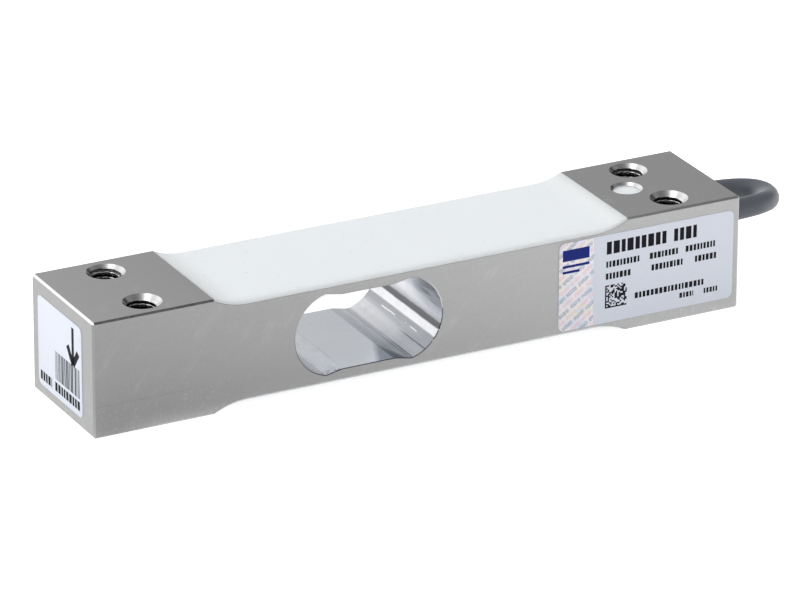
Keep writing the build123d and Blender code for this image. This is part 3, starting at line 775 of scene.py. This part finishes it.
class LOADCELL_OT_cable(bpy.types.Operator):
    """Lay the cable from the end face to its stripped end"""
    bl_idname = "load_cell.cable"
    bl_label = "Cable"

    def execute(self, context):
        points = cable_points()
        roundness = settings().load_cell_cable.bevel_resolution
        cable = nurbs("cable_jacket_run", points, CABLE_RADIUS, jacket_material(), roundness)
        cable.visible_glossy = False  # the guessed hank would show on the wall of the opening
        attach(cable, "root")
        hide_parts("cable", "cable_hank", "cable_tail")
        spline_length(points)
        return {"FINISHED"}


def dress_nodes(names, material):
    """Gives CAD nodes their material."""
    for name in names:
        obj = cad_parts[name]
        obj.data.materials.clear()
        obj.data.materials.append(material)


def merged_copy(node, name):
    """Copy of a CAD node with its loose triangles merged, smooth apart from its real edges."""
    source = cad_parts[node]
    mesh = source.data.copy()
    mesh.name = name
    work = bmesh.new()
    work.from_mesh(mesh)
    work.transform(source.matrix_world)
    bmesh.ops.remove_doubles(work, verts=work.verts, dist=1e-7)
    bmesh.ops.dissolve_degenerate(work, dist=1e-8, edges=work.edges)
    work.to_mesh(mesh)
    work.free()
    for layer in list(mesh.attributes):
        if layer.name == "custom_normal":
            mesh.attributes.remove(layer)
    mesh.polygons.foreach_set("use_smooth", [True] * len(mesh.polygons))
    obj = bpy.data.objects.new(name, mesh)
    bpy.context.collection.objects.link(obj)
    mesh.materials.clear()
    return obj


# Finishes of the body, in the order of its material slots
BODY_FINISHES = [machined_metal, bored_metal, bright_cut, shaded_thread_metal, edge_metal, bright_edge_metal,
                 slot_metal, rim_metal]
MACHINED, BORED, BRIGHT, THREAD, EDGE, BRIGHT_EDGE, SLOT, RIM = range(len(BODY_FINISHES))


def body_face_kinds(mesh):
    """Material slot of each face of the body."""
    count = len(mesh.polygons)
    centre = np.empty(count * 3)
    normal = np.empty(count * 3)
    mesh.polygons.foreach_get("center", centre)
    mesh.polygons.foreach_get("normal", normal)
    x, y, z = centre.reshape(-1, 3).T
    nx, ny, nz = np.abs(normal.reshape(-1, 3)).T
    kinds = np.full(count, MACHINED, dtype=np.int32)
    slanted = (nx > 0.5).astype(int) + (ny > 0.5) + (nz > 0.5) > 1
    kinds[slanted & (nx < 0.2) & (z > BODY_HEIGHT / 2)] = EDGE
    kinds[slanted & (nx > 0.5) & (nz > 0.5) & (z > BODY_HEIGHT / 2)] = BRIGHT_EDGE
    reach = BORE_RADIUS + 0.0003
    inside = (ny < 0.9) & (x > BORE_CENTRES[0] - reach) & (x < BORE_CENTRES[1] + reach)
    inside &= (z > 0.0028) & (z < 0.0192)
    kinds[inside] = BORED
    kinds[inside & (nz > 0.9995)] = SLOT
    kinds[inside & (ny > 0.5)] = RIM
    for hx, hy in HOLE_PLACES:
        near = np.hypot(x - hx, y - hy) < COUNTERSINK_RADIUS
        kinds[near & (nz < 0.95)] = BRIGHT
        kinds[near & (nz < 0.2)] = THREAD
    near = np.hypot(x - FILLING_PLACE[0], y - FILLING_PLACE[1]) < FILLING_RADIUS
    kinds[near & (nz < 0.95) & (z > 0.018)] = BRIGHT
    return kinds


def thread_surface(hx, hy, pitch, core, outer, start):
    """Thread in one hole: r = outer - (outer - core) * ridge(turn), a helix over angle a and height z.

    ridge is a flattened triangle of (z / pitch - a / 2 pi + start), so the crest climbs one pitch a turn.
    At both mouths the countersink goes on down, its radius less the depth below the face, where that is
    wider. Returns the points, the faces, and which faces get bright metal: the countersinks, and the
    first crests as a painted highlight.
    """
    low = COUNTERSINK_RADIUS - outer
    high = BODY_HEIGHT - low
    rows = int(round((high - low) / pitch * THREAD_ROWS_A_TURN)) + 1
    a = np.linspace(0, 2 * math.pi, THREAD_SIDES, endpoint=False)[None, :]
    z = np.linspace(low, high, rows)[:, None]
    turn = (z / pitch - a / (2 * math.pi) + start) % 1.0
    ridge = np.clip(1.5 - 3.2 * np.abs(turn - 0.5), 0.0, 1.0)
    depth = np.minimum(z, BODY_HEIGHT - z)
    r = np.maximum(COUNTERSINK_RADIUS - depth, outer - (outer - core) * ridge)
    # bright metal: the countersinks, and on the first crests a painted highlight
    cut = (r < COUNTERSINK_RADIUS - depth + 1e-7) | ((ridge > 0.7) & (depth < SHINING_DEPTH))
    cut = cut[1:] & cut[:-1]
    cut &= np.roll(cut, -1, axis=1)
    points = np.stack([hx + r * np.cos(a), hy + r * np.sin(a), z + 0 * a], axis=-1).reshape(-1, 3)
    return points, [f[::-1] for f in grid_faces(rows, THREAD_SIDES)], cut.ravel()


class LOADCELL_OT_body(bpy.types.Operator):
    """Dress the machined spring body and cut its threads"""
    bl_idname = "load_cell.body"
    bl_label = "Spring body"

    def execute(self, context):
        values = settings().load_cell_body
        body = merged_copy("spring_body", "spring_body_surface")
        finishes = [make() for make in BODY_FINISHES]
        for finish in finishes:
            body.data.materials.append(finish)
        body.data.polygons.foreach_set("material_index", body_face_kinds(body.data))
        sharpen(body, 24)
        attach(body, "root")
        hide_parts("spring_body")
        points, faces, cuts = [], [], []
        for (hx, hy), start in zip(HOLE_PLACES, THREAD_STARTS):
            p, f, cut = thread_surface(
                hx, hy, values.thread_pitch, values.thread_core_radius, THREAD_OUTER_RADIUS, start)
            faces += [[k + len(points) for k in face] for face in f]
            points += p.tolist()
            cuts += cut.tolist()
        threads = mesh_object("hole_threads", points, faces, finishes[THREAD])
        # the countersinks' bright metal, also a painted highlight on the first crests
        threads.data.materials.append(finishes[BRIGHT])
        threads.data.polygons.foreach_set("material_index", np.array(cuts, dtype=np.int32))
        sharpen(threads, 40)
        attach(threads, "root")
        return {"FINISHED"}


def silicone_shell(turned):
    """Points and faces of a silicone cover.

    Over the relief the free surface is relief_height(x, depth - t). On top the thickness is
    t(y) = T * sqrt(1 - s^2), with s going from 0 to 1 over the rounded long edge. Underneath, where the
    silicone hung while it set, it is the gentler T * sin(pi / 2 * (1 - s)). The edge runs out over the
    broken edge of the body, and it swells and draws back a little along the beam.
    """
    values = settings().load_cell_silicone
    half = BODY_WIDTH / 2 - 0.00004
    flank = BODY_WIDTH / 2 - EDGE_BREAK
    rim = values.edge_width * (1.6 if turned else 1.0)
    flat = half - rim
    x = np.unique(np.concatenate([
        np.linspace(-BLOCK_EDGE, -ARC_FOOT, 40), np.linspace(-ARC_FOOT, ARC_FOOT, 90),
        np.linspace(ARC_FOOT, BLOCK_EDGE, 40),
    ]))[:, None]
    s = np.linspace(-1, 1, 97)[None, :]
    bent = np.sign(s) * (flat + rim * np.sin((np.abs(s) - 0.5) * math.pi))
    y = np.where(np.abs(s) < 0.5, s / 0.5 * flat, bent)
    share = np.clip((np.abs(y) - flat) / rim, 0, 1)
    wave = 1 + 0.05 * share * np.sin(x * 260 + 1.3) * np.sin(x * 97)
    profile = np.sin(math.pi / 2 * (1 - share)) if turned else np.sqrt(np.clip(1 - share**2, 0, 1))
    t = np.maximum(values.thickness * profile * wave, 0.00004)
    drop = np.clip(np.abs(y) - flank, 0, None) + 0 * x
    over = relief_height(x + 0 * y, RELIEF_DEPTH - t) - 0.9 * drop
    under = relief_height(x + 0 * y, np.full(t.shape, RELIEF_DEPTH)) - drop
    top = np.stack([x + 0 * y, y + 0 * x, over], axis=-1)
    bottom = np.stack([x + 0 * y, y + 0 * x, under], axis=-1)
    rows = len(top)
    loop = np.concatenate([top, bottom[:, ::-1]], axis=1)
    if turned:
        loop[..., 2] = BODY_HEIGHT - loop[..., 2]
    width = loop.shape[1]
    faces = [f[::-1] for f in grid_faces(rows, width)]
    last = [(rows - 1) * width + k for k in range(width)]
    faces += [list(range(width)), last[::-1]]
    if turned:
        faces = [f[::-1] for f in faces]
    return loop.reshape(-1, 3), faces


class LOADCELL_OT_silicone(bpy.types.Operator):
    """Cast the silicone covers and fill the passages"""
    bl_idname = "load_cell.silicone"
    bl_label = "Silicone"

    def execute(self, context):
        material = silicone_material()
        for node, turned in (("top_silicone_cover", False), ("bottom_silicone_cover", True)):
            points, faces = silicone_shell(turned)
            cover = mesh_object(node + "_surface", points, faces, material)
            sharpen(cover, 50)
            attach(cover, "root")
            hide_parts(node)
        dress_nodes(["passage_filling", "cable_seal"], material)
        return {"FINISHED"}


def plate_outline(width, height, square_right):
    """Outline of a plate about its middle, with rounded corners, or square ones on its right."""
    steps = np.linspace(0, math.pi / 2, 9)
    points = []
    for quarter, (cx, cy) in enumerate(((1, 1), (-1, 1), (-1, -1), (1, -1))):
        square = square_right and cx > 0
        r = 0.0 if square else LABEL_CORNER
        middle = np.array([cx * (width / 2 - r), cy * (height / 2 - r)])
        turn = steps + quarter * math.pi / 2
        arc = middle + r * np.stack([np.cos(turn), np.sin(turn)], axis=1)
        points.append(arc[:1] if square else arc)
    return np.concatenate(points)


def plate(name, outline, thickness, to_place, material):
    """Thin closed plate: the outline at the back, near the front, and drawn in a little for a soft edge."""
    n = len(outline)
    inset = outline * (1 - 2 * thickness * 0.3 / np.abs(outline).max(axis=0))
    rings = np.concatenate([
        np.column_stack([outline, np.zeros(n)]),
        np.column_stack([outline, np.full(n, thickness * 0.7)]),
        np.column_stack([inset, np.full(n, thickness)]),
    ])
    faces = grid_faces(3, n)
    faces += [list(range(n))[::-1], [2 * n + k for k in range(n)]]
    obj = mesh_object(name, to_place(rings), faces, material)
    sharpen(obj, 30)
    return obj


def label_plate(name, label, thickness, to_place, material, square_right=False):
    """Plate of a label at its place on a face of the body."""
    middle = np.array([label["across"], label["up"], 0.0])
    outline = plate_outline(label["width"], label["height"], square_right)
    return plate(name, outline, thickness, lambda p: to_place(p + middle), material)


def near_side(depth):
    """Places plate points (across, up, out) on the near side face, that far out of it."""
    return lambda p: np.stack([p[:, 0], -BODY_WIDTH / 2 - depth - p[:, 2], p[:, 1]], axis=1)


def load_end_side(depth):
    """Places plate points (across, up, out) on the load end's face, that far out of it."""
    return lambda p: np.stack([-BODY_LENGTH / 2 - depth - p[:, 2], -p[:, 0], p[:, 1]], axis=1)


def printed(name, outlines, to_place, material):
    """Print as thin raised plates over outlines of four corners (across, up) in millimetres."""
    flat = np.array(outlines) * MM
    n = len(flat)
    low, high = (np.concatenate([flat, np.full((n, 4, 1), level)], axis=2) for level in (0.0, INK_THICKNESS))
    points = np.concatenate([low, high], axis=1).reshape(-1, 3)
    faces = (np.arange(n)[:, None, None] * 8 + np.array(BOX_FACES)[None]).reshape(-1, 4).tolist()
    return mesh_object(name, to_place(points), faces, material, smooth=False)


def box(low, high, bottom, top):
    """Corners of an upright box of print."""
    return [(low, bottom), (high, bottom), (high, top), (low, top)]


def dashes(low, high, bottom, top, seed, mean, gap):
    """Row of plain upright dashes between low and high, in millimetres, with widths that vary a little."""
    rng = np.random.default_rng(seed)
    boxes = []
    x = low
    while x < high - 0.25 * mean:
        width = mean * rng.uniform(0.7, 1.25)
        boxes.append(box(x, min(x + width, high), bottom, top))
        x += width + gap
    return boxes


def block_code(low, bottom, size, cells, seed):
    """Square of small blocks, set at random, with a full line on two sides."""
    rng = np.random.default_rng(seed)
    on = rng.random((cells, cells)) < 0.5
    on[0, :] = True
    on[:, 0] = True
    step = size / cells
    rows, columns = np.nonzero(on)
    return [box(low + c * step, low + (c + 1) * step, bottom + r * step, bottom + (r + 1) * step)
            for r, c in zip(rows.tolist(), columns.tolist())]


def bar_code(low, high, bottom, top, seed):
    """Upright bars with random widths and gaps."""
    rng = np.random.default_rng(seed)
    boxes = []
    x = low
    while x < high:
        width = rng.choice([0.14, 0.14, 0.28, 0.42])
        boxes.append(box(x, min(x + width, high), bottom, top))
        x += width + rng.choice([0.16, 0.16, 0.30])
    return boxes


def stroke(start, end, width):
    """Corners of a thick straight line."""
    a, b = np.array(start), np.array(end)
    along = (b - a) / np.linalg.norm(b - a)
    side = np.array([-along[1], along[0]]) * width / 2
    return [a - side, b - side, b + side, a + side]


class LOADCELL_OT_labels(bpy.types.Operator):
    """Put the three labels and their plain print on the body"""
    bl_idname = "load_cell.labels"
    bl_label = "Labels"

    def execute(self, context):
        values = settings().load_cell_label
        film = film_material()
        ink = ink_material("black_print", tuple(values.ink_colour))
        blue = ink_material("blue_print", tuple(values.blue_colour))
        foil = foil_material()

        label = label_plate("rating_label_film", RATING_LABEL, LABEL_THICKNESS, near_side(0.0), film)
        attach(label, "root")
        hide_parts("rating_label")

        strip = label_plate("foil_strip_film", FOIL_STRIP, FOIL_THICKNESS, near_side(LABEL_THICKNESS), foil,
                            square_right=True)
        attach(strip, "root")
        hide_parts("foil_strip")

        rows = [mark for row in RATING_ROWS for mark in dashes(*row)]
        rows += block_code(37.0, 5.1, 4.5, 16, 12)
        print_black = printed("rating_label_print", rows, near_side(LABEL_THICKNESS), ink)
        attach(print_black, "root")

        bars = [box(28.1, 33.6, 15.9, 18.1), box(28.1, 33.6, 14.6, 15.1), box(28.1, 31.6, 13.5, 14.0)]
        print_blue = printed("foil_strip_print", bars, near_side(LABEL_THICKNESS + FOIL_THICKNESS), blue)
        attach(print_blue, "root")

        end = label_plate("end_label_film", END_LABEL, LABEL_THICKNESS, load_end_side(0.0), film)
        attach(end, "root")
        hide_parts("end_label")

        arrow = [stroke((4.5, 18.1), (4.5, 11.9), 0.95), stroke((4.5, 11.0), (6.7, 14.0), 1.25),
                 stroke((4.5, 11.0), (2.3, 14.0), 1.25)]
        print_arrow = printed("end_label_arrow", arrow, load_end_side(LABEL_THICKNESS), ink)
        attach(print_arrow, "root")
        marks = bar_code(-3.0, 7.05, 5.5, 10.9, 21) + dashes(-9.3, -4.6, 3.2, 4.9, 22, 0.9, 0.32)
        marks += dashes(-3.2, 7.2, 3.2, 4.9, 23, 0.9, 0.32)
        print_end = printed("end_label_print", marks, load_end_side(LABEL_THICKNESS), ink)
        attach(print_end, "root")
        return {"FINISHED"}


class LOADCELL_OT_inner(bpy.types.Operator):
    """Dress the gauges, films, resistors and wires under the silicone, and the stripped cores"""
    bl_idname = "load_cell.inner"
    bl_label = "Inner pieces"

    def execute(self, context):
        gauges = plain_material("gauge_carrier", (0.72, 0.50, 0.16), 0.4)
        film = plain_material("wiring_film", (0.70, 0.46, 0.14), 0.35)
        chips = plain_material("resistor_ceramic", (0.08, 0.08, 0.09), 0.35)
        wires = plain_material("enamelled_wire", (0.55, 0.22, 0.08), 0.25, 0.6)
        dress_nodes(["gauge_top_load_end", "gauge_top_cable_end",
                     "gauge_bottom_load_end", "gauge_bottom_cable_end"], gauges)
        dress_nodes(["wiring_film", "solder_strip"], film)
        dress_nodes(["zero_balance_resistor", "span_resistor", "temperature_resistor"], chips)
        dress_nodes(["gauge_wires_top", "gauge_wires_bottom", "cross_wires", "lead_wires"], wires)
        dress_nodes(["cable_inner_end"], bpy.data.materials["cable_jacket"])
        dress_nodes(["hank_tie"], plain_material("tie_band", (0.03, 0.03, 0.032), 0.45))
        cores = {"core_red": (0.55, 0.02, 0.02), "core_black": (0.015, 0.015, 0.015),
                 "core_green": (0.02, 0.30, 0.06), "core_white": (0.78, 0.78, 0.75)}
        for name, colour in cores.items():
            dress_nodes([name], plain_material(name, colour, 0.38))
        dress_nodes(["shield_pigtail"], bpy.data.materials["core_black"])
        dress_nodes(["core_tips"], plain_material("tinned_copper", (0.70, 0.69, 0.66), 0.3, 1.0))
        return {"FINISHED"}


def area_light(name, place, aim, size, power):
    """Rectangular soft light at a place, turned to an aim."""
    data = bpy.data.lights.new(name, "AREA")
    data.shape = "RECTANGLE"
    data.size, data.size_y = size
    data.energy = power
    light = bpy.data.objects.new(name, data)
    bpy.context.collection.objects.link(light)
    turn = (Vector(aim) - Vector(place)).to_track_quat("-Z", "Y").to_matrix().to_4x4()
    light.matrix_world = Matrix.Translation(place) @ turn
    return light


def lobe(sh, around, direction, power, height):
    """Brightness round a direction of the world: height * max(0, cos of the angle to it) ** power."""
    dot = sh.add("ShaderNodeVectorMath")
    dot.operation = "DOT_PRODUCT"
    sh.put(dot.inputs[0], around)
    sh.put(dot.inputs[1], direction)
    cosine = sh.math("MAXIMUM", dot.outputs["Value"], 0.0)
    return sh.times(sh.math("POWER", cosine, power), height)


def studio_white(name):
    """White paper for the floor: it takes the shadow, and looks white to the camera and in reflections.

    In reflections it is brightest behind the beam, and in front of it falls off towards the load end.
    """
    material, sh = new_material(name)
    sh.finish((FLOOR_SHADE, FLOOR_SHADE, FLOOR_SHADE, 1.0), 1.0)
    sh.surface.inputs["Specular IOR Level"].default_value = 0.0
    x, y, _ = sh.axes()
    lit = sh.clamp(sh.times(sh.plus(x, 0.070), 8.0))
    front = sh.scaled(lit, 0.74, 0.12)
    behind = sh.scaled(sh.over(x, -0.06, 120.0), 0.50, 0.71)
    mirrored = sh.plus(behind, sh.times(sh.over(y, -0.012, -200.0), sh.minus(front, behind)))
    path = sh.add("ShaderNodeLightPath").outputs
    direct = sh.math("MAXIMUM", path["Is Camera Ray"], path["Is Transmission Ray"])
    seen = sh.math("MAXIMUM", direct, sh.times(path["Is Glossy Ray"], mirrored))
    glow = sh.add("ShaderNodeEmission")
    sh.put(glow.inputs["Strength"], sh.times(seen, FLOOR_GLOW))
    both = sh.add("ShaderNodeAddShader")
    sh.put(both.inputs[0], sh.surface.outputs["BSDF"])
    sh.put(both.inputs[1], glow.outputs[0])
    output = next(node for node in sh.tree.nodes if node.type == "OUTPUT_MATERIAL")
    sh.put(output.inputs["Surface"], both.outputs[0])
    return material


class LOADCELL_OT_studio(bpy.types.Operator):
    """Set the floor, the light from all round and the lamps"""
    bl_idname = "load_cell.studio"
    bl_label = "Studio"

    def execute(self, context):
        values = settings().load_cell_studio
        scene = context.scene
        scene.view_settings.view_transform = "Standard"
        scene.world = bpy.data.worlds.new("studio_light")
        scene.world.use_nodes = True
        sh = Shader(scene.world.node_tree)
        sh.tree.nodes.clear()
        around = sh.add("ShaderNodeTexCoord").outputs["Generated"]
        level = sh.plus(1.0, lobe(sh, around, *BRIGHT_LOBE))
        for weaker in (DIM_LOBE, DARK_LOBE, ASIDE_LOBE):
            level = sh.minus(level, lobe(sh, around, *weaker))
        level = sh.plus(sh.math("MAXIMUM", level, LOWEST_LIGHT), lobe(sh, around, *OVERHEAD_LOBE))
        level = sh.times(level, values.world_strength)
        seen = sh.add("ShaderNodeLightPath").outputs["Is Camera Ray"]
        background = sh.add("ShaderNodeBackground")
        sh.put(background.inputs["Color"], (1.0, 1.0, 1.0, 1.0))
        sh.put(background.inputs["Strength"], sh.plus(sh.times(seen, sh.minus(1.0, level)), level))
        sh.put(sh.add("ShaderNodeOutputWorld").inputs["Surface"], background.outputs[0])

        corners = [(-FLOOR_HALF, -FLOOR_HALF, 0), (FLOOR_HALF, -FLOOR_HALF, 0),
                   (FLOOR_HALF, FLOOR_HALF, 0), (-FLOOR_HALF, FLOOR_HALF, 0)]
        floor = mesh_object("floor", corners, [(0, 1, 2, 3)], studio_white("floor_white"))
        floor.data.transform(Matrix.Translation((0, 0, -FLOOR_DROP)))
        for name, place, aim, size, share, mirrored in LAMPS:
            light = area_light(name, place, aim, size, values.key_power * share)
            light.visible_glossy = mirrored
        return {"FINISHED"}


OPERATORS = [LOADCELL_OT_camera, LOADCELL_OT_cable, LOADCELL_OT_body, LOADCELL_OT_silicone,
             LOADCELL_OT_labels, LOADCELL_OT_inner, LOADCELL_OT_studio]


class LOADCELL_PT_panel(bpy.types.Panel):
    bl_label = "Load Cell"
    bl_idname = "LOADCELL_PT_panel"
    bl_space_type = "VIEW_3D"
    bl_region_type = "UI"
    bl_category = "Load Cell"

    def draw(self, context):
        for operator in OPERATORS:
            self.layout.operator(operator.bl_idname)
        for group in GROUPS:
            values = getattr(context.scene, group)
            for name in values.__annotations__:
                self.layout.prop(values, name)


GROUPS = {
    "load_cell_body": BodySettings,
    "load_cell_silicone": SiliconeSettings,
    "load_cell_label": LabelSettings,
    "load_cell_cable": CableSettings,
    "load_cell_studio": StudioSettings,
}


def register():
    for group, kind in GROUPS.items():
        bpy.utils.register_class(kind)
        setattr(bpy.types.Scene, group, bpy.props.PointerProperty(type=kind))
    for operator in OPERATORS:
        bpy.utils.register_class(operator)
    bpy.utils.register_class(LOADCELL_PT_panel)


def unregister():
    bpy.utils.unregister_class(LOADCELL_PT_panel)
    for operator in reversed(OPERATORS):
        bpy.utils.unregister_class(operator)
    for group, kind in GROUPS.items():
        delattr(bpy.types.Scene, group)
        bpy.utils.unregister_class(kind)


def main():
    register()
    hairline_group()
    smudge_group()
    bpy.ops.load_cell.camera()
    bpy.ops.load_cell.cable()
    bpy.ops.load_cell.body()
    bpy.ops.load_cell.silicone()
    bpy.ops.load_cell.labels()
    bpy.ops.load_cell.inner()
    bpy.ops.load_cell.studio()


if __name__ == "__main__":
    main()
